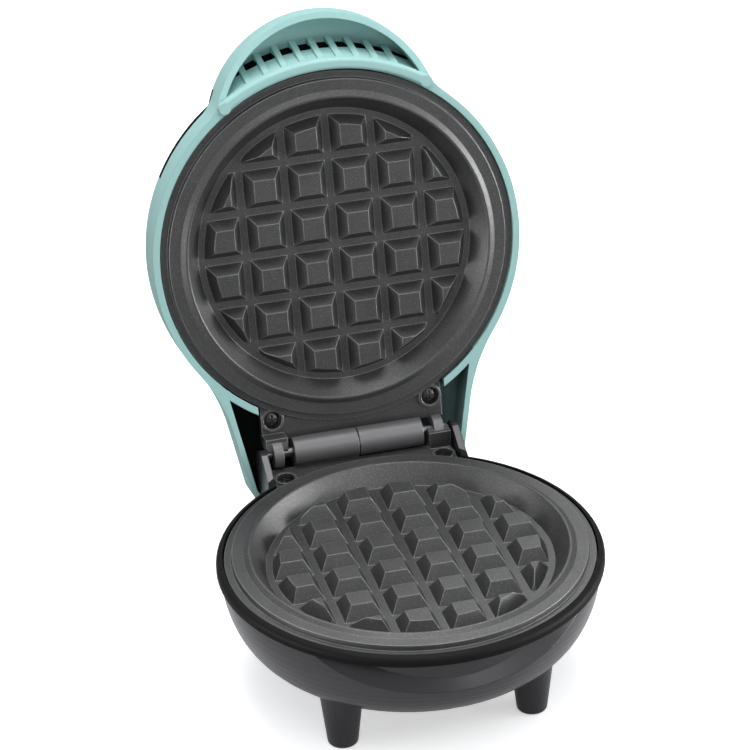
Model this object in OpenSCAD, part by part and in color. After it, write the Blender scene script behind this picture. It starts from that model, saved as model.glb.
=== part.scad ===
// Personal waffle maker: a round bowl base and a hinged lid, each with a studded cast plate.
// Millimetres, Z up. The lid is drawn shut around the base axis and then swung open on its hinge.

/* [Stance] */
// Angle the lid stands open
open_angle = 102; // [95:1:104]
// Height of the widest edge of the base above the table
rim_z = 47.7; // [47:0.1:49]

/* [Plates] */
// Radius of each cast plate
plate_r = 61.8; // [58:0.1:66]
// Width of the step around the plate's raised face
step_w = 2.6; // [2.4:0.1:2.8]
// Depth of the waffle cavity below the face
cavity_d = 5.8; // [5.4:0.1:6.2]
// Width of the channel between two studs at their feet
channel_w = 2.6; // [2.3:0.1:2.9]
// Width of a stud at its top
stud_top = 7.5; // [7.2:0.1:7.8]
// Height of a stud
stud_h = 4.8; // [4.5:0.1:5]
// Half the gap between the two plate faces when shut
half_gap = 1.2; // [1.15:0.05:1.3]

/* [Hinge] */
// Radius of the hinge barrels
barrel_r = 5; // [4.8:0.1:5.1]
// Radius of the hinge pin
pin_r = 1.75; // [1.6:0.05:1.9]
// Clearance around the hinge pin
pin_gap = 0.05; // [0.03:0.01:0.08]

/* [Shells] */
// How far both shells reach beyond the plates
shell_over = 2.8; // [2.6:0.1:3]
// Wall of both shells
wall = 2.4; // [2.2:0.1:2.5]
// Height of the lid above its plate face
lid_h = 26; // [25.5:0.5:27]
// How far the handle reaches beyond the lid's round shell
handle_over = 16.6; // [16.4:0.1:17]
// Number of ribs in the handle
rib_count = 9; // [7:2:9]

/* [Legs] */
// Distance of the front legs to each side of the middle
front_leg_x = 32.5; // [32:0.5:33]
// Distance of the front legs ahead of the base axis
front_leg_y = 30.4; // [30:0.1:31]
// Distance of the back legs to each side of the middle
back_leg_x = 20; // [18:0.5:22]
// How far the back legs stay inside the bowl's widest edge
back_leg_in = 0.2; // [0.1:0.1:1]
// Radius of a leg where it meets the table
leg_foot_r = 5.2; // [5:0.1:5.4]
// Radius of a leg where it joins the bowl
leg_top_r = 7.4; // [7.2:0.1:7.6]

/* [Hidden] */

$fn = 96;
eps = 0.02;

// Colours
mint = [0.69, 0.91, 0.87];
charcoal = [0.24, 0.23, 0.25];
coated = [0.25, 0.25, 0.27];
steel = [0.72, 0.72, 0.74];
ceramic = [0.93, 0.91, 0.86];
phenolic = [0.16, 0.14, 0.13];
rubber = [0.08, 0.08, 0.08];
amber = [0.95, 0.55, 0.15];

// Length of a cut that runs right through, and how far a shell is drawn below its edge
deep = 20;
below = 10;

// Radii that follow the plate
face_w = 6.5;
cavity_slope_w = 4.6;
hinge_back = 7.8;
shell_r = plate_r + shell_over;
face_r = plate_r - step_w;
cavity_r = face_r - face_w;
floor_r = cavity_r - cavity_slope_w;
hinge_y = plate_r + hinge_back;

// Stance: the open lid reaches further back than the base reaches forward
hinge_up = 4.7;
crown_in = 18.45;
hinge_z = rim_z + hinge_up;
crown_y = shell_r - crown_in;
lid_reach = hinge_y * (1 - cos(open_angle)) + (half_gap + lid_h) * sin(open_angle) - crown_y * cos(open_angle);
centre_y = (lid_reach - shell_r) / 2;

// Plate casting, measured from its face (z = 0, cooking side up)
step_d = 1.9;
step_slope_w = 0.3;
flange_d = 4.4;
floor_t = 3.2;
back_d = cavity_d + floor_t;
ridge_h = 1;
ridge_edge_w = 0.3;
ridge_top_w = 0.6;
ridge_w = 2.6;
pan_top_t = 3.3;
pan_foot_t = 3.4;

// Studs
stud_share = 0.3268;
stud_foot_gap = 2.2;
stud_top_gap = 4.8;
stud_pitch = floor_r * stud_share;
stud_foot = stud_pitch - channel_w;
stud_clip_foot = floor_r - stud_foot_gap;
stud_clip_top = floor_r - stud_top_gap;

// Tab at the back of the casting
tab_x = 32.3;
tab_top = 3;
tab_t = 4;
tab_gap = 0.35;
tab_root = 4;
tab_cut = 2.4;
tab_y = hinge_y - sqrt(pow(barrel_r + tab_gap, 2) - pow(tab_top + half_gap, 2));
tab_front = floor_r - tab_root;
tab_screw_x = 28.3;
tab_screw_in = 11.1;
tab_screw_y = hinge_y - tab_screw_in;
tab_pad_r = 4;
tab_pad_h = 0.9;
tab_boss_r = 3.6;
tab_boss_h = 9;

// Barrels, knuckles and eyes of the hinge
barrel_in = 0.2;
barrel_out = 23;
barrel_web = 2;
knuckle_in = 24.7;
knuckle_out = 32.4;
knuckle_set = 1.6;
knuckle_w = 4.4;
knuckle_up = 2;
knuckle_y = hinge_y - knuckle_set;
eye_in = 27;
eye_out = 30.4;

// Heater, thermostat and fuse behind each plate
heater_in = 15.1;
heater_rise = 3.3;
heater_r = floor_r - heater_in;
heater_d = back_d + heater_rise;
heater_open = 50;
heater_pin_r = 1.2;
heater_pin_l = 3.5;
tube_r = 3.2;
tube_gap = 0.05;
seat_w = 5;
seat_open_x = 16;
seat_open_y = 12;
bead_r = 2.8;
bead_l = 8;
bead_gap = 0.1;
boss_h = 4;
boss_d = back_d + boss_h;
pilot_l = 4;

// Thermostat
stat_r = 8;
stat_in = 0.3;
stat_h = 9;
stat_screw_x = 12;
stat_foot_w = 3;
stat_foot_t = 0.8;
stat_blade_x = 4.5;
stat_blade_t = 0.8;
stat_blade_w = 3.1;
stat_blade_l = 6;

// Thermal fuse and the strap that holds it
fuse_x = -19;
fuse_r = 2;
fuse_l = 12;
fuse_gap = 0.1;
fuse_wire_r = 0.5;
fuse_wire_l = 17;
fuse_boss_y = 12;
fuse_boss_r = 2.8;
clip_t = 0.6;
clip_set = 0.15;
clip_foot = 3;
clip_lap = 0.1;

// Heat shields are thin pans clamped under the plate rims, just behind the heater tube
shield_t = 0.5;
shield_over = 4.5;
shield_gap = 1;
shield_in = 0.5;
shield_open_r = 14;
shield_tab_gap = 1;
shield_tab_low = 6;
shield_front_gap = 0.7;
shield_r = cavity_r + shield_over;
shield_d = heater_d + tube_r + shield_gap;

// Base housing
recess_gap = 0.5;
ledge_gap = 0.4;
ledge_z = hinge_z - half_gap - flange_d - shield_t;
recess_r = plate_r + recess_gap;
ledge_r = shield_r + ledge_gap;
band_drop = 1.5;
band_over = 1.3;
band_slope_h = 0.3;
band_edge_r = 2;
band_top = 2.4;
band_in = 0.2;
bowl_z = rim_z - band_drop;
bowl_run = 18.2;
bowl_flat_r = shell_r - bowl_run - band_over;
bowl_drop = 27.7;
bowl_turn = 75;
bottom_z = bowl_z - bowl_drop * sin(bowl_turn);
floor_wall = 2.2;
arch_r = 5;
arch_y = 46;
arch_drop = 2.2;
arch_l = 30;

// Bottom cover
cover_in = 9.2;
cover_t = 3;
cover_gap = 0.3;
cover_seat_w = 6.5;
cover_recess = 1.9;
cover_screw_in = 3.2;
cover_boss_r = 3.2;
cover_boss_h = 12;
cover_boss_gap = 0.1;
cover_r = bowl_flat_r - cover_in;
cover_ledge = cover_r - cover_seat_w;
cover_screw_r = cover_r - cover_screw_in;
vent_pitch = 8;
vent_l = 28;
vent_w = 2;

// Legs
leg_foot_edge = 1.2;
leg_root = 1;
leg_in_h = 16;
leg_z = bottom_z + leg_in_h;
back_leg_z = bowl_z - leg_root;
back_leg_r = bowl_flat_r + bowl_run - leg_top_r - back_leg_in;
back_leg_y = sqrt(pow(back_leg_r, 2) - pow(back_leg_x, 2));

// Terminal block, just inside the opening that the cover closes
terminal_l = 18;
terminal_w = 10;
terminal_h = 8;
terminal_gap = 0.46;
terminal_pole_x = 5.5;
terminal_bore_r = 1.6;
terminal_bore_h = 5;
terminal_y = sqrt(pow(cover_ledge - terminal_gap, 2) - pow(terminal_l / 2, 2)) - terminal_w / 2;

// Cord gland
gland_up = 7.8;
gland_in = 3.3;
gland_z = bottom_z + gland_up;
gland_y = shell_r - gland_in;
gland_r = 4.5;
gland_flange_r = 5.8;
gland_flange_t = 1.5;
gland_bore = 3;
gland_t = 4;
gland_fit = 0.1;
gland_nose_l = 5;
gland_nose_in = 0.5;
gland_boss_l = 8;
gland_boss_w = 1.2;
gland_seat_l = 14;
gland_seat_gap = 0.2;

// Finger scoop at the front of the base
scoop_depth = 6;
scoop_h = 10.2;
scoop_in_r = shell_r - scoop_depth;
scoop_low = rim_z - scoop_h;
scoop_slant = 35;
scoop_sill_r = 156;
scoop_x = 44;
scoop_end_y = 36;

// Hinge cradle and cheeks at the back of the base
cradle_x = 35.4;
cradle_r = 13.9;
cradle_in = 19.6;
cradle_h = 11;
cradle_relief = 1;
cradle_y = hinge_y - cradle_in;
cradle_low = bowl_z - cradle_h;
shelf_z = hinge_z - half_gap - tab_top - tab_t;
shelf_t = 3;
shelf_back = 2.4;
rim_tab_gap = 0.6;
stop_gap = 0.3;
cheek_t = 2.4;
cheek_front = 23.6;
cheek_rise = 15.6;
cheek_top = 2.6;
cheek_r = 5.2;
cheek_in = 3.6;
cheek_drop = 1.4;
cheek_back = 8.5;
cheek_foot = 1;

// Lid shell, measured up from the upper plate's face
rim_m = 0.8;
side_m = 12;
dome_power = 3.4;
lid_seat_t = 2.2;
lid_front_h = 12.5;
lid_recess_gap = 0.4;
tab_slot_gap = 1;

// Hood at the back of the lid
hood_back = 17.4;
hood_y = hinge_y + hood_back;
hood_front = 30;
hood_wall = 2;
hood_end_x = 37.4;
hood_taper = 11;
hood_roof = 18.5;
hood_edge_r = 6;
hood_corner_r = 4;
hood_corner_out = 0.5;
hood_corner_share = 0.9;
hood_blend_r = 60;
hood_draw = 90;
hood_draw_l = 110;
hood_draw_y = 40;
hood_plan_x = 70;

// Handle at the front of the lid
handle_r = 39.4;
handle_y = shell_r + handle_over - handle_r;
handle_blend_r = 16;
handle_top = 22;
handle_wall = 2.3;
handle_rise_y = 53;
handle_tip_y = 90;
handle_tip_h = 8.2;
blend_edge = 4;
blend_lap = 0.98;
blend_draw = 20;

// Ribs, sloped back and lip of the handle
rib_pitch = 6.35;
rib_t = 2.2;
rib_in = 1.5;
rib_foot = 2.2;
rib_reach = 6.8;
rib_top_gap = 1.5;
lip_gap = 0.8;
lip_r = plate_r + lip_gap;
lip_w = 3.9;
lip_turn = 33;
lip_edge_r = 1.2;
lip_low = 0.2;
lip_h = 2.4;
lip_end_w = 0.15;
back_top = 12.2;
back_low = 0.3;
back_fold = 5;
back_steps = [0.4, 3, 5, 2.6, 0.9];

// Indicator lens, seated against the underside of the roof, and the lamp under it
lens_r = 3.2;
lens_y = -34;
lens_flange_w = 1;
lens_flange_t = 1.2;
lens_gap = 0.05;
lens_fit = 0.1;
lens_up = 0.3;
lens_dome_r = 4.5;
lens_dome_turn = 46;
lens_dome_in = 3.3;
lens_seat = roof(lens_r + lens_flange_w - lens_y, wall) - lens_gap;
lens_h = roof(-lens_y, 0) - lens_seat + lens_up;
lamp_r = 1.8;
lamp_x = 3;

// Screws
screw_r = 1.4;
screw_gap = 0.2;
screw_head_r = 2.9;
screw_head_h = 1.8;
screw_head_dome = 4.9;
screw_head_edge = 0.93;
head_gap = 0.3;
tab_hole_gap = 0.25;
cross_l = 3.4;
cross_w = 0.7;
cross_d = 0.9;
tab_screw_l = 11;
cover_screw_l = 9;
terminal_screw_l = 8;
small_screw_l = 4;

// Points along an arc in the plane of a profile
function arc(cx, cy, r, from, to, steps = 6) =
  [for (i = [0:steps]) let (a = from + (to - from) * i / steps) [cx + r * cos(a), cy + r * sin(a)]];

// Points over a rounded dome from its side to its crown
function dome(r, foot, height, steps = 14) =
  [for (i = [0:steps]) let (a = 90 * i / steps)
    [r * pow(cos(a), 2 / dome_power), foot + height * pow(sin(a), 2 / dome_power)]];

// Height of the dome over a place r from its axis
function roof(r, inset) =
  side_m + (lid_h - side_m - inset) * pow(1 - pow(r / (shell_r - inset), dome_power), 1 / dome_power);

// Points down the side of the bowl and under it
function bowl(inset, steps = 12) =
  [for (i = [0:steps]) let (a = bowl_turn * i / steps)
    [bowl_flat_r + (bowl_run - inset) * cos(a), bowl_z - (bowl_drop - inset) * sin(a)]];

// The lid is drawn shut and swings back about the pin
module opened() {
  translate([0, hinge_y, hinge_z])
    rotate([-open_angle, 0, 0])
      translate([0, -hinge_y, -hinge_z])
        children();
}

module placed() {
  translate([0, -centre_y, 0]) children();
}

// Everything fixed to the lid, with z measured up from the upper plate's face
module on_lid() {
  placed() opened() translate([0, 0, hinge_z + half_gap]) children();
}

// Everything fixed to the lower plate, with z measured from that plate's face
module on_base_plate() {
  placed() translate([0, 0, hinge_z - half_gap]) children();
}

// The upper plate is the same casting turned over
module turned_over() {
  rotate([0, 180, 0]) children();
}

module mirrored_x() {
  for (side = [-1, 1]) scale([side, 1, 1]) children();
}

// Box from one corner to the opposite corner
module block(low, high) {
  translate(low) cube(high - low);
}

module bar_x(x0, x1, r) {
  translate([x0, 0, 0]) rotate([0, 90, 0]) cylinder(h = x1 - x0, r = r);
}

// ---- Cast plates ----

module plate_body() {
  rotate_extrude()
    polygon([
      [0, -cavity_d], [floor_r, -cavity_d], [cavity_r, ridge_h * 0.8],
      [cavity_r + ridge_edge_w, ridge_h], [cavity_r + ridge_edge_w + ridge_top_w, ridge_h],
      [cavity_r + ridge_w, 0], [face_r, 0], [face_r + step_slope_w, -step_d],
      [plate_r, -step_d], [plate_r, -flange_d], [cavity_r + pan_top_t, -flange_d],
      [floor_r + pan_foot_t, -back_d], [0, -back_d]
    ]);
}

// A row of tapered ridges; two rows crossed leave the studs
module stud_ridges() {
  for (i = [-2.5:2.5])
    translate([0, i * stud_pitch, 0])
      rotate([90, 0, 90])
        linear_extrude(height = 2 * floor_r, center = true)
          polygon([
            [-stud_foot / 2, -eps], [stud_foot / 2, -eps],
            [stud_top / 2, stud_h], [-stud_top / 2, stud_h]
          ]);
}

module studs() {
  translate([0, 0, -cavity_d])
    intersection() {
      stud_ridges();
      rotate([0, 0, 90]) stud_ridges();
      translate([0, 0, -eps]) cylinder(h = stud_h + eps, r1 = stud_clip_foot, r2 = stud_clip_top);
    }
}

// Tab at the back of the casting, cut back where the other casting's barrel turns
module plate_tab() {
  difference() {
    block([-tab_x, tab_front, -tab_top - tab_t], [tab_x, tab_y, -tab_top]);
    translate([0, 0, -tab_top - tab_t - 1]) cylinder(h = tab_t + 2, r = cavity_r + tab_cut);
  }
  mirrored_x()
    translate([tab_screw_x, tab_screw_y, -tab_top - eps])
      difference() {
        cylinder(h = tab_pad_h, r = tab_pad_r);
        translate([0, 0, -eps]) cylinder(h = tab_pad_h + 3 * eps, r = screw_head_r + head_gap);
      }
}

module hinge_half() {
  web_low = -tab_top - tab_t;
  translate([0, hinge_y, half_gap]) {
    bar_x(-barrel_out, -barrel_in, barrel_r);
    bar_x(eye_in, eye_out, barrel_r);
  }
  block([-barrel_out, tab_y - barrel_web, web_low], [-barrel_in, hinge_y, -tab_top]);
  block([knuckle_in, knuckle_y - knuckle_w, web_low], [knuckle_out, knuckle_y, half_gap + knuckle_up]);
}

// Ridge behind the plate with a round groove for the heater tube
module heater_seat() {
  difference() {
    translate([0, 0, -heater_d]) cylinder(h = heater_d - back_d + eps, r = heater_r + seat_w);
    translate([0, 0, -heater_d - eps]) cylinder(h = heater_d, r = heater_r - seat_w);
    translate([0, 0, -heater_d])
      rotate_extrude()
        translate([heater_r, 0]) circle(r = tube_r + tube_gap);
    block([-seat_open_x, heater_r - seat_open_y, -heater_d - 1],
      [seat_open_x, heater_r + seat_open_y, -back_d - eps]);
  }
}

module plate_back() {
  heater_seat();
  translate([0, 0, -boss_d]) cylinder(h = boss_h + eps, r = stat_r);
  mirrored_x()
    translate([stat_screw_x, 0, -boss_d]) cylinder(h = boss_h + eps, r = stat_foot_w);
  translate([fuse_x, fuse_boss_y, -boss_d]) cylinder(h = boss_h + eps, r = fuse_boss_r);
}

module plate_casting() {
  difference() {
    union() {
      plate_body();
      studs();
      plate_tab();
      hinge_half();
      plate_back();
    }
    translate([0, hinge_y, half_gap]) bar_x(-2 * tab_x, 2 * tab_x, pin_r + pin_gap);
    mirrored_x()
      translate([tab_screw_x, tab_screw_y, 0]) {
        translate([0, 0, -tab_top - screw_head_h]) cylinder(h = deep, r = screw_head_r + head_gap);
        translate([0, 0, -deep]) cylinder(h = deep, r = screw_r + tab_hole_gap);
      }
    mirrored_x() translate([stat_screw_x, 0, -boss_d - 1]) cylinder(h = pilot_l + 1, r = screw_r);
    translate([fuse_x, fuse_boss_y, -boss_d - 1]) cylinder(h = pilot_l + 1, r = screw_r);
  }
}

module lower_plate() {
  color(coated) on_base_plate() plate_casting();
}

module upper_plate() {
  color(coated) on_lid() turned_over() plate_casting();
}

// ---- Screws ----

// Pan head cross screw, head upward, with the underside of its head at z = 0
module screw(length) {
  difference() {
    union() {
      rotate_extrude()
        polygon(concat(
          [[0, 0], [screw_head_r, 0]],
          arc(0, screw_head_h - screw_head_dome, screw_head_dome,
            acos(screw_head_r * screw_head_edge / screw_head_dome), 90, 4)
        ));
      translate([0, 0, -length]) cylinder(h = length + eps, r = screw_r);
    }
    for (turn = [0, 90])
      rotate([0, 0, turn])
        translate([0, 0, screw_head_h]) cube([cross_l, cross_w, 2 * cross_d], center = true);
  }
}

module tab_screws() {
  mirrored_x()
    translate([tab_screw_x, tab_screw_y, -tab_top - screw_head_h]) screw(tab_screw_l);
}

module lower_plate_screws() {
  color(steel) on_base_plate() tab_screws();
}

module upper_plate_screws() {
  color(steel) on_lid() turned_over() tab_screws();
}

// ---- Heaters and heat shields ----

// Tube bent round behind the plate, open at the back, with a straight pin at each end
module heater() {
  translate([0, 0, -heater_d]) {
    rotate([0, 0, 90 + heater_open / 2])
      rotate_extrude(angle = 360 - heater_open)
        translate([heater_r, 0]) circle(r = tube_r);
    at_heater_ends()
      rotate([-90, 0, 0])
        translate([0, 0, -eps]) cylinder(h = bead_l + heater_pin_l, r = heater_pin_r);
  }
}

// Each end of the tube, with +Y pointing onward along the tube
module at_heater_ends() {
  for (side = [-1, 1])
    rotate([0, 0, side * heater_open / 2])
      translate([0, heater_r, 0])
        rotate([0, 0, -side * 90])
          children();
}

module heater_beads() {
  translate([0, 0, -heater_d])
    at_heater_ends()
      rotate([-90, 0, 0])
        difference() {
          translate([0, 0, bead_gap]) cylinder(h = bead_l, r = bead_r);
          cylinder(h = bead_l * 3, r = heater_pin_r + tube_gap, center = true);
        }
}

module heat_shield() {
  difference() {
    rotate_extrude()
      polygon([
        [shield_open_r, -shield_d], [shield_r, -shield_d], [shield_r, -flange_d - shield_t],
        [plate_r - shield_in, -flange_d - shield_t], [plate_r - shield_in, -flange_d],
        [shield_r - shield_t, -flange_d], [shield_r - shield_t, -shield_d + shield_t],
        [shield_open_r, -shield_d + shield_t]
      ]);
    block([-tab_x - shield_tab_gap, tab_front, -shield_d + shield_tab_low],
      [tab_x + shield_tab_gap, plate_r, 1]);
    // Relief in front, clear of the finger scoop
    difference() {
      block([-scoop_x, -shell_r, -shield_d - 1], [scoop_x, -scoop_end_y, -flange_d - shield_t]);
      translate([0, 0, -shield_d - 2]) cylinder(h = shield_d, r = scoop_in_r - wall - shield_front_gap);
    }
  }
}

module lower_heater() {
  color(steel) on_base_plate() heater();
}

module upper_heater() {
  color(steel) on_lid() turned_over() heater();
}

module lower_heater_beads() {
  color(ceramic) on_base_plate() heater_beads();
}

module upper_heater_beads() {
  color(ceramic) on_lid() turned_over() heater_beads();
}

module lower_heat_shield() {
  color(steel) on_base_plate() heat_shield();
}

module upper_heat_shield() {
  color(steel) on_lid() turned_over() heat_shield();
}

// ---- Thermostat and thermal fuse behind the lower plate ----

module thermostat() {
  color(phenolic) on_base_plate()
    difference() {
      union() {
        translate([0, 0, -boss_d - stat_h]) cylinder(h = stat_h, r = stat_r - stat_in);
        block([-stat_screw_x - stat_foot_w, -stat_foot_w, -boss_d - stat_foot_t],
          [stat_screw_x + stat_foot_w, stat_foot_w, -boss_d]);
        mirrored_x()
          block([stat_blade_x, -stat_blade_w, -boss_d - stat_h - stat_blade_l],
            [stat_blade_x + stat_blade_t, stat_blade_w, -boss_d - stat_h + 5 * eps]);
      }
      mirrored_x()
        translate([stat_screw_x, 0, -boss_d]) cylinder(h = deep, r = screw_r + screw_gap, center = true);
    }
}

module thermostat_screws() {
  color(steel) on_base_plate()
    mirrored_x()
      translate([stat_screw_x, 0, -boss_d - stat_foot_t]) rotate([180, 0, 0]) screw(small_screw_l);
}

module thermal_fuse() {
  color(ceramic) on_base_plate()
    translate([fuse_x, 0, -back_d - fuse_r - fuse_gap]) rotate([90, 0, 0]) {
      cylinder(h = fuse_l, r = fuse_r, center = true);
      cylinder(h = fuse_wire_l, r = fuse_wire_r, center = true);
    }
}

// Bent strap that holds the fuse against the plate
module fuse_clip() {
  color(steel) on_base_plate()
    difference() {
      union() {
        block([fuse_x - fuse_boss_r, fuse_boss_y - clip_foot - 2 * clip_lap, -boss_d - clip_t],
          [fuse_x + fuse_boss_r, fuse_boss_y + clip_foot, -boss_d]);
        block([fuse_x - fuse_boss_r, -clip_foot, -boss_d - clip_t - clip_set],
          [fuse_x + fuse_boss_r, fuse_boss_y - clip_foot - clip_lap, -boss_d - clip_set]);
      }
      translate([fuse_x, fuse_boss_y, -boss_d]) cylinder(h = deep, r = screw_r + screw_gap, center = true);
    }
}

module fuse_clip_screw() {
  color(steel) on_base_plate()
    translate([fuse_x, fuse_boss_y, -boss_d - clip_t]) rotate([180, 0, 0]) screw(small_screw_l);
}

// ---- Base ----

module bowl_solid(inset) {
  rotate_extrude()
    polygon(concat([[0, bowl_z]], bowl(inset), [[0, bowl_z - (bowl_drop - inset) * sin(bowl_turn)]]));
}

module rim_solid() {
  rotate_extrude()
    polygon(concat(
      [[0, bowl_z - eps], [bowl_flat_r + bowl_run, bowl_z - eps], [shell_r, bowl_z + band_slope_h],
        [shell_r, rim_z]],
      arc(shell_r - band_edge_r, rim_z, band_edge_r, 15, 75, 4),
      [[recess_r - band_in, rim_z + band_top], [0, rim_z + band_top]]
    ));
}

// Space cut away under the front rim for a fingertip, grown by the wall for the inside.
// Its sill is one side of a wide slanting cylinder, so its lip rises to each end.
module scoop(grown = 0) {
  difference() {
    block([-scoop_x, -2 * shell_r, bottom_z], [scoop_x, -scoop_end_y, bowl_z + band_slope_h + grown]);
    cylinder(h = 2 * rim_z, r = scoop_in_r - grown);
    translate([0, -scoop_in_r, scoop_low])
      rotate([-scoop_slant, 0, 0])
        translate([0, scoop_sill_r, 0])
          cylinder(h = 3 * rim_z, r = scoop_sill_r - grown, center = true);
  }
}

module leg(top_z) {
  rotate_extrude()
    polygon(concat(
      [[0, 0]],
      arc(leg_foot_r - leg_foot_edge, leg_foot_edge, leg_foot_edge, -90, 0, 4),
      [[leg_top_r, bottom_z + leg_root], [leg_top_r, top_z], [0, top_z]]
    ));
}

// The back legs stand under the bowl's edge, so that the machine is steady with its lid open
module legs() {
  mirrored_x() {
    translate([front_leg_x, -front_leg_y, 0]) leg(leg_z);
    translate([back_leg_x, back_leg_y, 0]) leg(back_leg_z);
  }
}

// Side view of the hinge cradle, drawn with Y across and Z up
module cradle_profile() {
  difference() {
    intersection() {
      translate([cradle_y, cradle_low]) square([hinge_y, shelf_z - cradle_low]);
      union() {
        translate([hinge_y, hinge_z]) circle(r = cradle_r);
        translate([cradle_y - 1, 0]) square([cradle_in, 2 * hinge_z]);
      }
    }
    // The open lid's hood comes to rest against this edge
    translate([hinge_y, hinge_z])
      rotate(-open_angle)
        translate([hood_y - hood_wall - hinge_y - cradle_relief, half_gap + rim_m - stop_gap])
          square(3 * cradle_r);
  }
}

// Side view of a cheek beside the hinge
module cheek_profile() {
  polygon(concat(
    [[hinge_y - cheek_front, shelf_z - shelf_t], [hinge_y - cheek_front, rim_z],
      [hinge_y - cheek_rise, rim_z + cheek_top]],
    arc(hinge_y - cheek_in, hinge_z - cheek_drop, cheek_r, 112, 20, 6),
    [[hinge_y + cheek_back, shelf_z - cheek_foot], [hinge_y + cheek_back, shelf_z - shelf_t]]
  ));
}

module side_slab(x0, x1) {
  translate([x0, 0, 0])
    rotate([90, 0, 90])
      linear_extrude(height = x1 - x0)
        children();
}

module cover_bosses() {
  for (turn = [0:90:270])
    rotate([0, 0, turn])
      translate([cover_screw_r, 0, bottom_z + cover_t + cover_boss_gap])
        children();
}

module base_inside() {
  difference() {
    union() {
      bowl_solid(wall);
      translate([0, 0, bowl_z - 1]) cylinder(h = ledge_z - bowl_z + 1 + eps, r = ledge_r);
    }
    scoop(wall);
    translate([0, 0, bottom_z - deep])
      difference() {
        cylinder(h = deep + cover_t + floor_wall, r = shell_r);
        translate([0, 0, -1]) cylinder(h = 3 * deep, r = cover_ledge);
      }
  }
  translate([0, 0, ledge_z]) cylinder(h = deep, r = recess_r);
}

module base_housing() {
  color(charcoal) placed()
    difference() {
      union() {
        difference() {
          union() {
            bowl_solid(0);
            rim_solid();
            legs();
            side_slab(-cradle_x, cradle_x) cradle_profile();
            mirrored_x() side_slab(cradle_x - cheek_t, cradle_x) cheek_profile();
          }
          scoop();
          base_inside();
        }
        gland_axis()
          translate([0, 0, -gland_boss_l]) cylinder(h = gland_boss_l, r = gland_flange_r + gland_boss_w);
        intersection() {
          side_slab(-cradle_x, cradle_x)
            translate([cradle_y, shelf_z - shelf_t]) square([cradle_in + shelf_back, shelf_t]);
          difference() {
            cylinder(h = 2 * rim_z, r = 2 * shell_r);
            cylinder(h = 2 * rim_z, r = ledge_r - 5 * eps);
          }
        }
        cover_bosses() cylinder(h = cover_boss_h, r = cover_boss_r);
        mirrored_x()
          translate([tab_screw_x, tab_screw_y, shelf_z - tab_boss_h]) cylinder(h = tab_boss_h, r = tab_boss_r);
      }
      // Gap in the rim for the plate's tab
      block([-tab_x - rim_tab_gap, tab_front, shelf_z], [tab_x + rim_tab_gap, 2 * hinge_y, 2 * hinge_z]);
      // Seat for the bottom cover, screw holes, gland hole and the small arch at the front
      translate([0, 0, bottom_z - below / 2])
        cylinder(h = below / 2 + cover_t, r = cover_r + cover_gap);
      cover_bosses() cylinder(h = deep, r = screw_r, center = true);
      mirrored_x()
        translate([tab_screw_x, tab_screw_y, shelf_z - tab_boss_h - 3]) cylinder(h = deep, r = screw_r);
      gland_axis() cylinder(h = 2 * deep, r = gland_r, center = true);
      gland_axis()
        translate([0, 0, -gland_seat_l])
          cylinder(h = gland_seat_l - gland_t, r = gland_flange_r + gland_seat_gap);
      translate([0, -arch_y, bottom_z - arch_drop]) rotate([90, 0, 0]) cylinder(h = arch_l, r = arch_r);
    }
}

module bottom_cover() {
  color(charcoal) placed()
    difference() {
      translate([0, 0, bottom_z]) cylinder(h = cover_t, r = cover_r);
      for (row = [-2:2])
        translate([0, row * vent_pitch, bottom_z]) cube([vent_l, vent_w, deep], center = true);
      for (turn = [0:90:270])
        rotate([0, 0, turn])
          translate([cover_screw_r, 0, bottom_z - 1]) {
            cylinder(h = deep, r = screw_r + screw_gap);
            cylinder(h = 1 + cover_recess, r = screw_head_r + screw_gap);
          }
    }
}

module cover_screws() {
  color(steel) placed()
    for (turn = [0:90:270])
      rotate([0, 0, turn])
        translate([cover_screw_r, 0, bottom_z + cover_recess]) rotate([180, 0, 0]) screw(cover_screw_l);
}

module terminal_block() {
  color(ceramic) placed()
    difference() {
      block([-terminal_l / 2, terminal_y - terminal_w / 2, bottom_z + cover_t],
        [terminal_l / 2, terminal_y + terminal_w / 2, bottom_z + cover_t + terminal_h]);
      for (x = [-terminal_pole_x, terminal_pole_x])
        translate([x, terminal_y, bottom_z + cover_t + terminal_bore_h])
          rotate([90, 0, 0]) cylinder(h = 2 * terminal_w, r = terminal_bore_r, center = true);
      translate([0, terminal_y, bottom_z]) cylinder(h = deep, r = screw_r + screw_gap);
    }
}

module terminal_block_screw() {
  color(steel) placed()
    translate([0, terminal_y, bottom_z + cover_t + terminal_h]) screw(terminal_screw_l);
}

// ---- Cord gland at the back of the bowl ----

module gland_axis() {
  translate([0, gland_y, gland_z]) rotate([-90, 0, 0]) children();
}

module cord_gland() {
  color(rubber) placed() gland_axis()
    rotate_extrude()
      polygon([
        [gland_bore, -gland_t - gland_flange_t], [gland_flange_r, -gland_t - gland_flange_t],
        [gland_flange_r, -gland_t], [gland_r - gland_fit, -gland_t], [gland_r - gland_fit, 0],
        [gland_flange_r, 0], [gland_flange_r, gland_flange_t],
        [gland_r - gland_nose_in, gland_nose_l], [gland_bore, gland_nose_l]
      ]);
}

module hinge_pin() {
  color(steel) placed() translate([0, hinge_y, hinge_z]) bar_x(-tab_x, tab_x, pin_r);
}

// ---- Lid ----

module dome_solid(r, height, inset) {
  rotate_extrude()
    polygon(concat([[0, -below], [r - inset, -below]], dome(r - inset, side_m, height - side_m - inset)));
}

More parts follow.
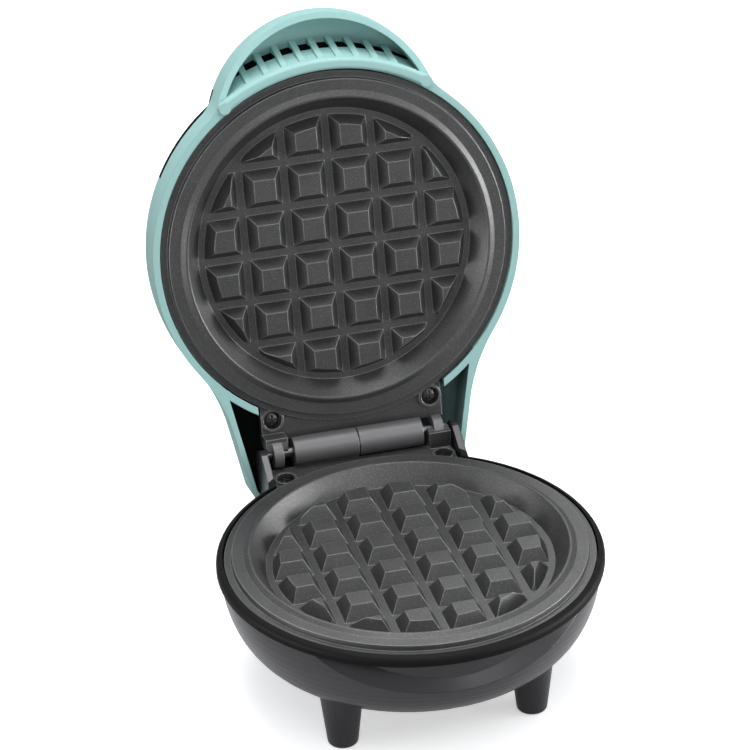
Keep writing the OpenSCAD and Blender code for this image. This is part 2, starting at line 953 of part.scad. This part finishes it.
// Side wall of the hood with a rounded upper edge, running back along the taper
module hood_side(inset) {
  translate([hood_end_x - inset, hood_y, 0])
    rotate([0, 0, hood_taper])
      translate([0, hood_draw_y, 0])
        rotate([90, 0, 0])
          linear_extrude(height = hood_draw_l)
            polygon(concat(
              [[-hood_draw, -below], [0, -below]],
              arc(-hood_edge_r, hood_roof - inset - hood_edge_r, hood_edge_r, 0, 90),
              [[-hood_draw, hood_roof - inset]]
            ));
}

module hood_solid(inset) {
  intersection() {
    mirrored_both() hood_side(inset);
    side_slab(-hood_draw, hood_draw)
      polygon(concat(
        [[hood_front, -below], [hood_y - inset, -below]],
        arc(hood_y - inset - hood_edge_r, hood_roof - inset - hood_edge_r, hood_edge_r, 0, 90),
        [[hood_front, hood_roof - inset]]
      ));
    translate([0, 0, -deep]) linear_extrude(height = 3 * deep) hood_plan(inset);
  }
}

// Outline that only rounds the hood's two back corners
module hood_plan(inset) {
  corner_r = hood_corner_r - inset * hood_corner_share;
  cx = hood_end_x - inset - corner_r + hood_corner_out;
  cy = hood_y - inset - corner_r;
  polygon(concat(
    [[hood_plan_x, 0], [hood_plan_x, hood_draw_y]],
    arc(cx, cy, corner_r, 12, 88, 4),
    [for (p = arc(cx, cy, corner_r, 88, 12, 4)) [-p[0], p[1]]],
    [[-hood_plan_x, hood_draw_y], [-hood_plan_x, 0]]
  ));
}

// Overlap of a shape with its own mirror image
module mirrored_both() {
  intersection() {
    children();
    mirror([1, 0, 0]) children();
  }
}

module handle_solid(inset) {
  translate([0, -handle_y, 0]) dome_solid(handle_r, handle_top, inset);
}

// Concave corner filled where two outlines meet, around an axis outside both. Its foot
// runs from that axis to the points where it touches them, then on to a place inside.
module blend(axis, r, from, to, inner, side, top) {
  edge = top - side;
  mirrored_x()
    intersection() {
      linear_extrude(height = top) polygon([axis, from, inner, to]);
      translate(axis)
        rotate_extrude()
          polygon(concat(
            [[r + blend_draw, rim_m], [r, rim_m]],
            arc(r + edge, side, edge, 180, 90, 4),
            [[r + blend_draw, top]]
          ));
    }
}

// Blend between the lid's round shell and the hood's straight side
module hood_blend() {
  across = [cos(hood_taper), sin(hood_taper)];
  reach = hood_end_x * across[0] + hood_y * across[1];
  turn = hood_taper + acos((reach + hood_blend_r) / (shell_r + hood_blend_r));
  axis = (shell_r + hood_blend_r) * [cos(turn), sin(turn)];
  blend(axis, hood_blend_r, blend_lap * shell_r * [cos(turn), sin(turn)],
    axis - (hood_blend_r + 1) * across, [36, 40], hood_roof - hood_edge_r, hood_roof);
}

// Blend between the lid's round shell and the handle's round outline
module handle_blend() {
  far = shell_r + handle_blend_r;
  near = handle_r + handle_blend_r;
  y = (far * far - near * near + handle_y * handle_y) / (2 * handle_y);
  axis = [sqrt(far * far - y * y), -y];
  blend(axis, handle_blend_r, [0, -handle_y] + (axis + [0, handle_y]) * (handle_r - 1) / near,
    axis * blend_lap * shell_r / far, [30, -44], side_m, side_m + blend_edge);
}

// Wedge that trims the handle's underside up and away from the lip
module handle_underside() {
  side_slab(-shell_r, shell_r)
    polygon([
      [-handle_rise_y, rim_m], [-handle_tip_y, rim_m + handle_tip_h],
      [-handle_tip_y, -deep], [-handle_rise_y, -deep]
    ]);
}

module rib(x) {
  inner_y = sqrt(pow(lip_r + rib_in, 2) - x * x);
  translate([x - rib_t / 2, 0, 0])
    rotate([90, 0, 90])
      linear_extrude(height = rib_t)
        polygon([
          [-inner_y, rim_m + 1], [-inner_y - rib_foot, rim_m + 1],
          [-inner_y - rib_reach, handle_top - rib_top_gap], [-inner_y, handle_top - rib_top_gap]
        ]);
}

module ribs() {
  last = (rib_count - 1) / 2;
  intersection() {
    union() for (i = [-last:last]) rib(i * rib_pitch);
    handle_solid(1);
  }
}

// Sloped wall behind the lip, open above its upper edge between the ribs
module handle_back() {
  intersection() {
    rotate_extrude()
      polygon([
        [lip_r + back_steps[0], rim_m + back_low], [lip_r + back_steps[1], rim_m + back_low],
        [lip_r + back_steps[2], back_top], [lip_r + back_steps[3], back_top],
        [lip_r + back_steps[4], side_m - back_fold]
      ]);
    handle_solid(0.5);
    block([-shell_r, -2 * shell_r, -below], [shell_r, -shell_r / 2, 2 * lid_h]);
  }
}

// Thick rounded lip that curves along the front of the plate
module lip() {
  rotate([0, 0, -90 - lip_turn])
    rotate_extrude(angle = 2 * lip_turn)
      polygon(concat(
        [[lip_r, lip_h], [lip_r, lip_low]],
        arc(lip_r + lip_edge_r, lip_low, lip_edge_r, 180, 270, 4),
        arc(lip_r + lip_w - lip_edge_r, lip_low, lip_edge_r, 270, 360, 4),
        [[lip_r + lip_w, lip_h]]
      ));
  for (side = [-1, 1])
    rotate([0, 0, -90 + side * lip_turn])
      translate([lip_r + lip_w / 2, 0, lip_low - lip_edge_r])
        cylinder(h = lip_h - lip_low + lip_edge_r - 5 * eps, r = lip_w / 2 + lip_end_w);
}

module lid_inside() {
  difference() {
    union() {
      dome_solid(shell_r, lid_h, wall);
      // The round wall runs on inside the hood, as far as the plate's tab
      difference() {
        hood_solid(hood_wall);
        difference() {
          cylinder(h = 3 * lid_h, r = shell_r, center = true);
          cylinder(h = 4 * lid_h, r = shell_r - wall, center = true);
          block([-tab_x - tab_slot_gap, 0, -2 * lid_h], [tab_x + tab_slot_gap, hood_y, 2 * lid_h]);
        }
      }
    }
    // Ledge that the plate's rim and the heat shield bear against
    difference() {
      translate([0, 0, flange_d + shield_t]) cylinder(h = lid_seat_t, r = shell_r);
      cylinder(h = 4 * lid_h, r = ledge_r, center = true);
      block([-tab_x - tab_slot_gap, hood_front, -lid_h], [tab_x + tab_slot_gap, hood_y, 2 * lid_h]);
    }
    // Front wall kept between the plate and the handle pocket
    difference() {
      block([-2 * shell_r, -2 * shell_r, -deep], [2 * shell_r, 0, lid_front_h]);
      cylinder(h = 4 * lid_h, r = shell_r - wall, center = true);
    }
  }
}

module handle_pocket() {
  difference() {
    handle_solid(handle_wall);
    cylinder(h = 4 * lid_h, r = lip_r + 2, center = true);
  }
}

module lid_shell() {
  color(mint) on_lid() {
    difference() {
      union() {
        difference() {
          union() {
            dome_solid(shell_r, lid_h, 0);
            hood_solid(0);
            handle_solid(0);
            hood_blend();
            handle_blend();
          }
          translate([0, 0, rim_m - deep]) cylinder(h = deep, r = 2 * shell_r);
          handle_underside();
          lid_inside();
          handle_pocket();
        }
        handle_back();
        ribs();
        lip();
        mirrored_x()
          translate([tab_screw_x, tab_screw_y, tab_top + tab_t])
            cylinder(h = hood_roof - tab_top - tab_t - 1, r = tab_boss_r);
      }
      translate([0, 0, -deep]) cylinder(h = deep + flange_d + shield_t, r = plate_r + lid_recess_gap);
      mirrored_x()
        translate([tab_screw_x, tab_screw_y, 0]) cylinder(h = hood_roof - screw_gap - hood_wall, r = screw_r);
      lens_place() cylinder(h = deep, r = lens_r, center = true);
    }
  }
}

// ---- Indicator on top of the lid ----

// Places what sits at the underside of the lid's roof
module lens_place() {
  translate([0, lens_y, lens_seat]) children();
}

module indicator_lens() {
  color(amber) on_lid() lens_place()
    rotate_extrude()
      polygon(concat(
        [[0, -lens_flange_t], [lens_r + lens_flange_w, -lens_flange_t], [lens_r + lens_flange_w, 0],
          [lens_r - lens_fit, 0], [lens_r - lens_fit, lens_h]],
        arc(0, lens_h - lens_dome_in, lens_dome_r, lens_dome_turn, 90, 4)
      ));
}

// Small neon lamp lying under the lens
module indicator_lamp() {
  color(amber) on_lid() lens_place()
    translate([0, 0, -lens_flange_t - lens_gap - lamp_r]) {
      bar_x(-lamp_x, lamp_x, lamp_r);
      translate([lamp_x, 0, 0]) sphere(r = lamp_r);
    }
}

base_housing();
bottom_cover();
cover_screws();
lower_plate();
lower_plate_screws();
lower_heater();
lower_heater_beads();
lower_heat_shield();
thermostat();
thermostat_screws();
thermal_fuse();
fuse_clip();
fuse_clip_screw();
terminal_block();
terminal_block_screw();
cord_gland();
hinge_pin();
lid_shell();
upper_plate();
upper_plate_screws();
upper_heater();
upper_heater_beads();
upper_heat_shield();
indicator_lens();
indicator_lamp();
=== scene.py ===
import math
import bpy
from mathutils import Matrix, Vector

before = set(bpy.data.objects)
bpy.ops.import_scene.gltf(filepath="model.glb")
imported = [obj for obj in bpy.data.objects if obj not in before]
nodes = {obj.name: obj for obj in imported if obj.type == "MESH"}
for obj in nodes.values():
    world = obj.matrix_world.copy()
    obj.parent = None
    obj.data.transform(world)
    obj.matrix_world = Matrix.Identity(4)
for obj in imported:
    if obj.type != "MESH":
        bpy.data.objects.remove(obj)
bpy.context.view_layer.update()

# ---- Places on the part, in mm ----

MM = 0.001
CENTRE_Y = 27.836               # base axis to the middle of the box
HINGE_Y = 69.6                  # base axis to the hinge axis
HINGE_FRAME_Y = HINGE_Y - CENTRE_Y
HINGE_Z = 52.4
HALF_GAP = 1.2                  # half of what lies between the shut plates
OPEN = math.radians(102)
BARREL_R = 5.15                 # takes in the barrels and knuckles

BAND_LOW = 46.35                # the dark band round the top edge of the base
BAND_R = 65

HOOD_REACH = (-30, 16.4)        # the hood's inside, where shade is painted, back from the hinge axis
HOOD_HEIGHT = (0.95, 17.2)      # above the lid's rim
HOOD_TAPER = math.radians(11)
HOOD_TAPER_FROM = 17.4
HOOD_HALF_WIDTH = 36.3
HOOD_RIGHT_LESS_SHADE = 0.35          # share of the painted shade that the right side lacks, as more light falls there

SLOT_FRONT_Y = -30              # the slot behind the handle's ribs, where shade is painted
SLOT_RING = (64.3, 68.2)        # starts inside the lid's outer wall, so its painted shade darkens that too
SLOT_HEIGHT = (12.3, 19.6)

# ---- Settings that the finishes share ----

FACTOR, FIRST, SECOND, MIXED = 0, 6, 7, 2       # sockets of a colour Mix node
LOW, HIGH = 0.3, 0.7                            # stops that a noise texture fills
BEVEL_SAMPLES = 6


# ---- Node helpers ----

def shader(name):
    m = bpy.data.materials.new(name)
    m.use_nodes = True
    return m, m.node_tree, m.node_tree.nodes["Principled BSDF"]


def node(nt, kind, **settings):
    n = nt.nodes.new(kind)
    for key, value in settings.items():
        setattr(n, key, value)
    return n


def link(nt, a, out, b, into):
    nt.links.new(a.outputs[out], b.inputs[into])


def feed(nt, value, socket):
    """Links a (node, output) pair to the socket, or sets the socket to a number or colour"""
    if isinstance(value, tuple) and isinstance(value[0], bpy.types.Node):
        nt.links.new(value[0].outputs[value[1]], socket)
    else:
        socket.default_value = value


def coords(nt, scale=(1, 1, 1)):
    tex = node(nt, "ShaderNodeTexCoord")
    mapping = node(nt, "ShaderNodeMapping")
    mapping.inputs["Scale"].default_value = scale
    link(nt, tex, "Object", mapping, "Vector")
    return mapping


def noise(nt, at, scale, detail, rough=0.5):
    n = node(nt, "ShaderNodeTexNoise")
    n.inputs["Scale"].default_value = scale
    n.inputs["Detail"].default_value = detail
    n.inputs["Roughness"].default_value = rough
    link(nt, at, "Vector", n, "Vector")
    return n


def ramp(nt, source, out, stops):
    """A colour ramp through stops, each a position and a colour"""
    r = node(nt, "ShaderNodeValToRGB")
    elements = r.color_ramp.elements
    while len(elements) < len(stops):
        elements.new(0.5)
    for element, (position, colour) in zip(elements, stops):
        element.position = position
        element.color = (*colour, 1)
    link(nt, source, out, r, "Fac")
    return r, "Color"


def blend(nt, factor, first, second, **settings):
    """A colour Mix node, fed as feed() is"""
    n = node(nt, "ShaderNodeMix", data_type="RGBA", **settings)
    for value, into in ((factor, FACTOR), (first, FIRST), (second, SECOND)):
        feed(nt, value, n.inputs[into])
    return n, MIXED


def maths(nt, op, a, b):
    """A maths node. a and b are numbers or (node, output) pairs."""
    n = node(nt, "ShaderNodeMath", operation=op)
    feed(nt, a, n.inputs[0])
    feed(nt, b, n.inputs[1])
    return n, 0


def product(nt, terms):
    out = terms[0]
    for t in terms[1:]:
        out = maths(nt, "MULTIPLY", out, t)
    return out


def distance(nt, a, b):
    """How far the point (a, b) lies from 0"""
    squares = maths(nt, "ADD", maths(nt, "MULTIPLY", a, a), maths(nt, "MULTIPLY", b, b))
    return maths(nt, "SQRT", squares, 0)


def between(nt, value, low, high):
    """Two terms of a product: value above low, and value below high, both in mm"""
    return [maths(nt, "GREATER_THAN", value, low * MM), maths(nt, "LESS_THAN", value, high * MM)]


def grey(v):
    return (v, v, v)


def bevel(nt, radius):
    b = node(nt, "ShaderNodeBevel", samples=BEVEL_SAMPLES)
    b.inputs["Radius"].default_value = radius
    return b


def edge_highlight_mask(nt, radius, least_turn=0.02, full_turn=0.25):
    """Bright where a surface turns sharply, where a highlight is painted on edges"""
    dot = node(nt, "ShaderNodeVectorMath", operation="DOT_PRODUCT")
    link(nt, bevel(nt, radius), "Normal", dot, 0)
    link(nt, node(nt, "ShaderNodeNewGeometry"), "Normal", dot, 1)
    turned = node(nt, "ShaderNodeMapRange")
    turned.inputs["From Min"].default_value = 1 - least_turn
    turned.inputs["From Max"].default_value = 1 - full_turn
    link(nt, dot, "Value", turned, "Value")
    return turned, "Result"


def bump(nt, bsdf, source, out, strength, depth, rounded):
    """Fine relief on edges that are rounded by the radius rounded, in metres"""
    b = node(nt, "ShaderNodeBump")
    b.inputs["Strength"].default_value = strength
    b.inputs["Distance"].default_value = depth
    link(nt, source, out, b, "Height")
    link(nt, bevel(nt, rounded), "Normal", b, "Normal")
    link(nt, b, "Normal", bsdf, "Normal")


# ---- Masks ----

def separate(nt):
    tex = node(nt, "ShaderNodeTexCoord")
    xyz = node(nt, "ShaderNodeSeparateXYZ")
    link(nt, tex, "Object", xyz, "Vector")
    return (xyz, 0), (xyz, 1), (xyz, 2)


def from_hinge(nt, y, z):
    return (maths(nt, "SUBTRACT", y, HINGE_FRAME_Y * MM), maths(nt, "SUBTRACT", z, HINGE_Z * MM))


def lid_axes(nt):
    """The shut lid's own axes: across, back from the hinge axis, and up from it"""
    x, y, z = separate(nt)
    c, s = math.cos(OPEN), math.sin(OPEN)
    yy, zz = from_hinge(nt, y, z)
    back = maths(nt, "SUBTRACT", maths(nt, "MULTIPLY", yy, c), maths(nt, "MULTIPLY", zz, s))
    up = maths(nt, "ADD", maths(nt, "MULTIPLY", yy, s), maths(nt, "MULTIPLY", zz, c))
    return x, back, up


def hood_painted_shade(nt):
    """1 on the hood's inner faces, where shade is painted, less on the right where more light falls, and
    by mistake on strips of its outer top
    """
    x, back, up = lid_axes(nt)
    ahead = maths(nt, "SUBTRACT", HOOD_TAPER_FROM * MM, back)
    limit = maths(nt, "ADD", maths(nt, "MULTIPLY", ahead, math.tan(HOOD_TAPER)), HOOD_HALF_WIDTH * MM)
    on_right = maths(nt, "GREATER_THAN", x, 0)
    return product(nt, [
        *between(nt, back, *HOOD_REACH),
        *between(nt, up, *(HALF_GAP + h for h in HOOD_HEIGHT)),
        maths(nt, "LESS_THAN", maths(nt, "ABSOLUTE", x, 0), limit),
        maths(nt, "SUBTRACT", 1, maths(nt, "MULTIPLY", on_right, HOOD_RIGHT_LESS_SHADE)),
    ])


def painted_shade_inside(nt):
    """Painted shade: the hood's inside, the slot behind the handle's ribs and, by mistake, the outer wall
    beside it
    """
    x, back, up = lid_axes(nt)
    y = maths(nt, "ADD", back, HINGE_Y * MM)
    slot = product(nt, [
        maths(nt, "LESS_THAN", y, SLOT_FRONT_Y * MM),
        *between(nt, distance(nt, x, y), *SLOT_RING),
        *between(nt, up, *(HALF_GAP + h for h in SLOT_HEIGHT)),
    ])
    return maths(nt, "MAXIMUM", slot, hood_painted_shade(nt))


def rim_band(nt):
    """1 on the dark band round the top edge of the base"""
    x, y, z = separate(nt)
    from_axis = distance(nt, x, maths(nt, "SUBTRACT", y, -CENTRE_Y * MM))
    return product(nt, [
        maths(nt, "GREATER_THAN", z, BAND_LOW * MM),
        maths(nt, "LESS_THAN", from_axis, BAND_R * MM),
    ])


def near_hinge(nt):
    """1 on the barrels and knuckles round the hinge axis, which get a painted highlight"""
    x, y, z = separate(nt)
    return maths(nt, "LESS_THAN", distance(nt, *from_hinge(nt, y, z)), BARREL_R * MM)


# ---- Finishes ----

def plastic(name, base, light, rough, coat=0.0, spec=0.5, dark=None, where=None, dull=0.7, relief=0.05):
    """Moulded plastic. The mask where, if any, turns it to the colour dark, duller and less glossy."""
    cloud_scale, grain_scale = 35, 900
    rough_less, rough_more = 0.02, 0.03
    gloss_lost = 0.9
    m, nt, bsdf = shader(name)
    at = coords(nt)
    colour = ramp(nt, noise(nt, at, cloud_scale, 4), "Fac", [(LOW, base), (HIGH, light)])
    fine = noise(nt, at, grain_scale, 2)
    roughness = ramp(nt, fine, "Fac", [(LOW, grey(rough - rough_less)), (HIGH, grey(rough + rough_more))])
    gloss = spec
    if where:
        mask = where(nt)
        colour = blend(nt, mask, colour, (*dark, 1))
        roughness = blend(nt, mask, roughness, (*grey(dull), 1))
        gloss = maths(nt, "SUBTRACT", spec, maths(nt, "MULTIPLY", mask, gloss_lost * spec))
    feed(nt, colour, bsdf.inputs["Base Color"])
    feed(nt, roughness, bsdf.inputs["Roughness"])
    feed(nt, gloss, bsdf.inputs["Specular IOR Level"])
    bsdf.inputs["Coat Weight"].default_value = coat
    bsdf.inputs["Coat Roughness"].default_value = 0.12
    bump(nt, bsdf, fine, "Fac", relief, depth=0.00002, rounded=0.0005)
    return m


def coated_metal():
    """Dark non-stick coating with fine light speckle, a painted highlight on sharp edges and a lighter
    grey painted on the hinge barrels as their highlight
    """
    painted_edge_highlight = (0.24, 0.245, 0.25, 1)
    painted_barrel_highlight = (0.100, 0.100, 0.102, 1)
    m, nt, bsdf = shader("nonstick_coating")
    at = coords(nt)
    cells = node(nt, "ShaderNodeTexVoronoi")
    cells.inputs["Scale"].default_value = 1500
    link(nt, at, "Vector", cells, "Vector")
    speck = ramp(nt, cells, "Distance", [(0.06, grey(0.14)), (0.22, grey(0.050)), (0.6, grey(0.041))])
    cloud = noise(nt, at, 60, 5, 0.6)
    tone = ramp(nt, cloud, "Fac", [(LOW, grey(0.85)), (HIGH, grey(1.15))])
    coating = blend(nt, 1.0, speck, tone, blend_type="MULTIPLY")
    # Sharp edges get a painted highlight, a lighter grey
    with_edge_highlight = blend(nt, edge_highlight_mask(nt, radius=0.0006), coating, painted_edge_highlight)
    # The barrels and knuckles are painted a lighter grey, a painted highlight for the light on their
    # rounded faces
    feed(nt, blend(nt, near_hinge(nt), with_edge_highlight, painted_barrel_highlight), bsdf.inputs["Base Color"])
    bsdf.inputs["Metallic"].default_value = 0.35
    roughness = ramp(nt, cells, "Distance", [(0.05, grey(0.34)), (0.4, grey(0.46))])
    feed(nt, roughness, bsdf.inputs["Roughness"])
    bump(nt, bsdf, cells, "Distance", 0.18, depth=0.00005, rounded=0.0004)
    return m


def metal(name, dark, light, rough, stretch=(1, 1, 1), scale=600):
    """Bare metal, its grain stretched along an axis by stretch"""
    rough_more = 0.12
    m, nt, bsdf = shader(name)
    grain = noise(nt, coords(nt, stretch), scale, 4)
    colour = ramp(nt, grain, "Fac", [(LOW, grey(dark)), (HIGH, grey(light))])
    roughness = ramp(nt, grain, "Fac", [(LOW, grey(rough)), (HIGH, grey(rough + rough_more))])
    feed(nt, colour, bsdf.inputs["Base Color"])
    feed(nt, roughness, bsdf.inputs["Roughness"])
    bsdf.inputs["Metallic"].default_value = 1.0
    bump(nt, bsdf, grain, "Fac", 0.08, depth=0.00003, rounded=0.0002)
    return m


# The mint's dark colour is painted shade, on the hood's inner faces and in the slot behind the handle's
# ribs
MINT = plastic("mint_gloss", (0.320, 0.530, 0.508), (0.332, 0.548, 0.526), 0.40, spec=0.03,
               dark=(0.010, 0.012, 0.012), where=painted_shade_inside)
CHARCOAL = plastic("charcoal_gloss", (0.017, 0.0165, 0.0190), (0.020, 0.0195, 0.0220), 0.24, spec=0.45,
                   dark=(0.009, 0.009, 0.009), where=rim_band, dull=0.5, relief=0.015)
LEGS = plastic("leg_plastic", (0.013, 0.012, 0.014), (0.017, 0.016, 0.018), 0.32, spec=0.14)
DARK_STEEL = metal("black_screw", 0.05, 0.09, 0.35)
PIN_STEEL = metal("pin_steel", 0.10, 0.16, 0.35)
COATED = coated_metal()
STEEL = metal("plated_steel", 0.45, 0.62, 0.28)
SHEATH = metal("heater_sheath", 0.12, 0.20, 0.45)
SHEET = metal("bright_sheet", 0.55, 0.70, 0.25, (1, 20, 1), 200)
CERAMIC = plastic("ceramic_bead", (0.72, 0.69, 0.62), (0.80, 0.77, 0.70), 0.6)
PHENOLIC = plastic("phenolic", (0.030, 0.022, 0.018), (0.040, 0.030, 0.024), 0.45)
RUBBER = plastic("rubber_grommet", (0.015, 0.015, 0.015), (0.020, 0.020, 0.020), 0.6)
LENS = plastic("amber_lens", (0.75, 0.22, 0.02), (0.85, 0.28, 0.03), 0.12, coat=0.6)
LAMP = plastic("lamp_glass", (0.75, 0.55, 0.40), (0.82, 0.62, 0.46), 0.1, coat=0.6)

PAINT = {
    "base_housing": CHARCOAL, "bottom_cover": LEGS, "cover_screws": STEEL,
    "lower_plate": COATED, "lower_plate_screws": DARK_STEEL, "lower_heater": SHEATH,
    "lower_heater_beads": CERAMIC, "lower_heat_shield": SHEET, "thermostat": PHENOLIC,
    "thermostat_screws": STEEL, "thermal_fuse": CERAMIC, "fuse_clip": SHEET,
    "fuse_clip_screw": STEEL, "terminal_block": PHENOLIC, "terminal_block_screw": STEEL,
    "cord_gland": RUBBER, "hinge_pin": PIN_STEEL, "lid_shell": MINT, "upper_plate": COATED,
    "upper_plate_screws": DARK_STEEL, "upper_heater": SHEATH, "upper_heater_beads": CERAMIC,
    "upper_heat_shield": SHEET, "indicator_lens": LENS, "indicator_lamp": LAMP,
}
for name, o in nodes.items():
    for s in o.material_slots:
        s.material = PAINT[name]


# ---- Floor ----

def floor():
    """Pale to the camera, mid grey in reflections and dark to all other light"""
    side, drop = 8, 0.0002
    mirrored_colour, bounced_colour = (0.55, 0.55, 0.56, 1), (0.16, 0.16, 0.165, 1)
    camera_glow, mirror_glow = 0.50, 0.16
    m, nt, bsdf = shader("floor")
    seen = node(nt, "ShaderNodeLightPath")
    to_camera, to_mirror = (seen, "Is Camera Ray"), (seen, "Is Glossy Ray")
    pale = ramp(nt, noise(nt, coords(nt), 12, 2), "Fac", [(LOW, grey(0.86)), (HIGH, grey(0.87))])
    unseen = blend(nt, to_mirror, bounced_colour, mirrored_colour)
    feed(nt, blend(nt, to_camera, unseen, pale), bsdf.inputs["Base Color"])
    glow = maths(nt, "ADD", maths(nt, "MULTIPLY", to_camera, camera_glow),
                 maths(nt, "MULTIPLY", to_mirror, mirror_glow))
    bsdf.inputs["Emission Color"].default_value = (1, 1, 1, 1)
    feed(nt, glow, bsdf.inputs["Emission Strength"])
    bsdf.inputs["Roughness"].default_value = 0.6
    bsdf.inputs["Specular IOR Level"].default_value = 0.15
    bpy.ops.mesh.primitive_plane_add(size=side, location=(0, 0, -drop))
    o = bpy.context.object
    o.name = "floor"
    o.data.materials.append(m)


# ---- Light ----

AIM = Vector((0, 0, 0.08))      # every lamp points here, in metres


def area(name, at, size, power, diffuse=True, glossy=True):
    """A rectangular lamp, which can be left out of diffuse light or of reflections"""
    data = bpy.data.lights.new(name, "AREA")
    data.shape = "RECTANGLE"
    data.size, data.size_y = size
    data.energy = power
    o = bpy.data.objects.new(name, data)
    bpy.context.collection.objects.link(o)
    o.location = at
    o.rotation_euler = (AIM - Vector(at)).to_track_quat("-Z", "Y").to_euler()
    o.visible_diffuse = diffuse
    o.visible_glossy = glossy


def surroundings():
    """Soft light that grows from below to above. The camera and clear pieces see plain white."""
    from_height, to_height = -0.3, 1.0
    weakest, strongest = 0.10, 0.55
    world = bpy.data.worlds.new("world")
    bpy.context.scene.world = world
    world.use_nodes = True
    nt = world.node_tree
    nt.nodes.clear()
    split = node(nt, "ShaderNodeSeparateXYZ")
    link(nt, node(nt, "ShaderNodeTexCoord"), "Generated", split, 0)
    fade = node(nt, "ShaderNodeMapRange")
    for key, value in (("From Min", from_height), ("From Max", to_height),
                       ("To Min", weakest), ("To Max", strongest)):
        fade.inputs[key].default_value = value
    link(nt, split, "Z", fade, "Value")
    soft, white = node(nt, "ShaderNodeBackground"), node(nt, "ShaderNodeBackground")
    soft.inputs["Color"].default_value = (0.90, 0.93, 1.0, 1)
    link(nt, fade, "Result", soft, "Strength")
    white.inputs["Color"].default_value = (1, 1, 1, 1)
    white.inputs["Strength"].default_value = 1.0
    path = node(nt, "ShaderNodeLightPath")
    plain = maths(nt, "MAXIMUM", (path, "Is Camera Ray"), (path, "Is Transmission Ray"))
    mix = node(nt, "ShaderNodeMixShader")
    feed(nt, plain, mix.inputs[0])
    link(nt, soft, 0, mix, 1)
    link(nt, white, 0, mix, 2)
    link(nt, mix, 0, node(nt, "ShaderNodeOutputWorld"), "Surface")


floor()
area("key", (-0.12, -0.85, 1.25), (1.0, 0.8), 7)
area("right", (1.05, -0.35, 0.45), (0.8, 0.7), 6)
area("top", (0.0, 0.10, 1.5), (0.8, 0.8), 15)
area("left", (-1.10, 0.15, 0.60), (0.7, 0.7), 3)
area("back", (0.1, 0.80, 1.10), (1.0, 0.6), 14, diffuse=False)
area("fill", (0.0, -1.30, 0.12), (1.2, 0.2), 4, glossy=False)
area("glint", (0.55, -0.95, 0.95), (0.6, 0.4), 4, diffuse=False)
area("right_panel", (0.95, -0.25, 0.12), (0.9, 0.5), 26, diffuse=False)
area("left_panel", (-0.95, -0.15, 0.10), (0.9, 0.4), 16, diffuse=False)
surroundings()

scene = bpy.context.scene
scene.view_settings.view_transform = "Standard"

# ---- Camera, as solved from the photo ----

PHOTO_PX = 750
SENSOR = 36                                     # mm
FOCAL_PX = 3547.255
AZIMUTH, ELEVATION, ROLL = (math.radians(v) for v in (-14.0318, 29.4408, -1.8434))
SOLVED_AT = Vector((-251.037, -964.063, 631.283))       # mm, from SOLVED_ZERO
SOLVED_ZERO = Vector((0, -CENTRE_Y, 47.7))              # on the base's axis


def camera():
    back = Vector((math.sin(AZIMUTH) * math.cos(ELEVATION), -math.cos(AZIMUTH) * math.cos(ELEVATION),
                   math.sin(ELEVATION)))
    right = Vector((math.cos(AZIMUTH), math.sin(AZIMUTH), 0))
    up = back.cross(right)
    rolled_right = math.cos(ROLL) * right + math.sin(ROLL) * up
    rolled_up = -math.sin(ROLL) * right + math.cos(ROLL) * up
    data = bpy.data.cameras.new("photo_camera")
    data.sensor_width = SENSOR
    data.lens = FOCAL_PX * SENSOR / PHOTO_PX
    data.clip_start, data.clip_end = 0.01, 20
    o = bpy.data.objects.new("photo_camera", data)
    bpy.context.collection.objects.link(o)
    m = Matrix((rolled_right, rolled_up, back)).transposed().to_4x4()
    m.translation = (SOLVED_AT + SOLVED_ZERO) * MM
    o.matrix_world = m
    scene.camera = o


camera()
